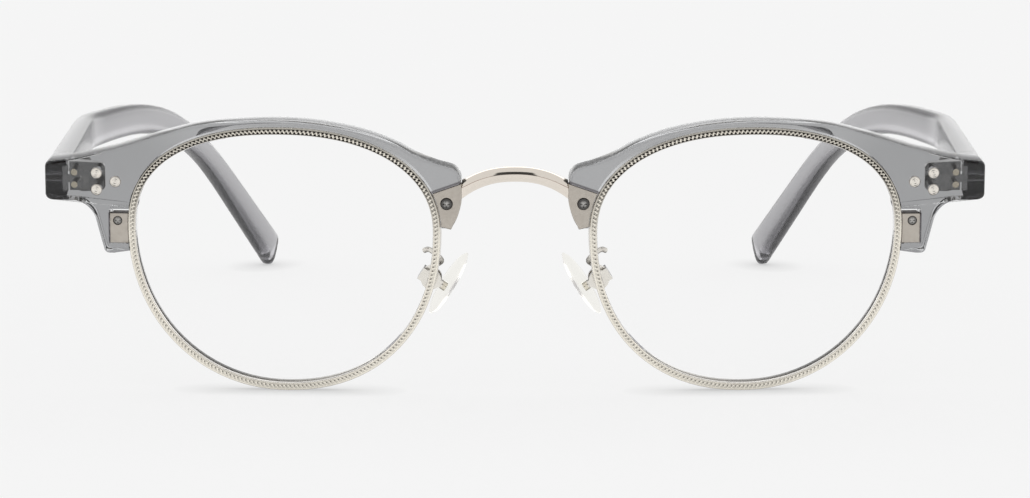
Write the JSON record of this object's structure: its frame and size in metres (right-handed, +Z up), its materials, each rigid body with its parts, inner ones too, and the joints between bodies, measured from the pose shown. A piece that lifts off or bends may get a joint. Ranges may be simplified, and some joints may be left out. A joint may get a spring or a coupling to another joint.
{
  "type": "browline glasses",
  "caption": "Browline glasses with see-through grey acetate brows and temples, beaded metal eyewires, a round-bar bridge and clear rocking nose pads.",
  "frame": {"origin": "below the middle of the open glasses, on the surface they stand on", "axes": "+Z up, the front of the lenses faces -Y, the temples run towards +Y, and +X is the wearer's left"},
  "size_m": [0.1438, 0.1466, 0.0426],
  "materials": {
    "acetate": "polished see-through grey",
    "eyewire_metal": "satin warm silver",
    "trim_metal": "beaded warm silver",
    "satin_metal": "satin beige silver",
    "bar_metal": "polished warm silver",
    "hinge_metal": "plain",
    "rivet_metal": "turned",
    "screw_steel": "dark",
    "pin_brass": "plain",
    "clear_lens": "clear",
    "clear_pad": "clear soft plastic"
  },
  "bodies": {
    "front": {"brow_left": "acetate", "brow_right": "acetate", "eyewire_left": "eyewire_metal", "eyewire_right": "eyewire_metal", "beaded_trim_left": "trim_metal", "beaded_trim_right": "trim_metal", "lens_left": "clear_lens", "lens_right": "clear_lens", "closing_tab_left": "satin_metal", "closing_tab_right": "satin_metal", "closing_block_left": "satin_metal", "closing_block_right": "satin_metal", "closing_screw_left": "screw_steel", "closing_screw_right": "screw_steel", "bridge": "bar_metal", "bridge_plate_left": "satin_metal", "bridge_plate_right": "satin_metal", "bridge_screw_left": "screw_steel", "bridge_screw_right": "screw_steel", "front_hinge_left": "hinge_metal", "front_hinge_right": "hinge_metal", "hinge_rivets_left": "rivet_metal", "hinge_rivets_right": "rivet_metal", "anchor_pins_left": "pin_brass", "anchor_pins_right": "pin_brass", "brow_rivet_left": "rivet_metal", "brow_rivet_right": "rivet_metal", "hinge_screw_left": "screw_steel", "hinge_screw_right": "screw_steel", "pad_arm_left": "bar_metal", "pad_arm_right": "bar_metal", "pad_screw_left": "screw_steel", "pad_screw_right": "screw_steel"},
    "left_arm": {"temple_left": "acetate", "temple_hinge_left": "hinge_metal", "temple_rivets_left": "rivet_metal"},
    "right_arm": {"temple_right": "acetate", "temple_hinge_right": "hinge_metal", "temple_rivets_right": "rivet_metal"},
    "left_pad": {"nose_pad_left": "clear_pad", "pad_lug_left": "bar_metal"},
    "right_pad": {"nose_pad_right": "clear_pad", "pad_lug_right": "bar_metal"}
  },
  "joints": [
    {"name": "temple_fold_left", "type": "hinge", "parent": "front", "child": "left_arm", "pos_m": [0.06603, -0.06145, 0.03272], "axis": [0, 0, 1], "range_deg": [0, 80]},
    {"name": "temple_fold_right", "type": "hinge", "parent": "front", "child": "right_arm", "pos_m": [-0.06603, -0.06145, 0.03272], "axis": [0, 0, -1], "range_deg": [0, 69]},
    {"name": "pad_rock_left", "type": "hinge", "parent": "front", "child": "left_pad", "pos_m": [0.01284, -0.06371, 0.01707], "axis": [-0.0698, 0.9901, 0.1216], "range_deg": [-8, 8]},
    {"name": "pad_rock_right", "type": "hinge", "parent": "front", "child": "right_pad", "pos_m": [-0.01284, -0.06371, 0.01707], "axis": [0.0698, 0.9901, 0.1216], "range_deg": [-8, 8]}
  ]
}
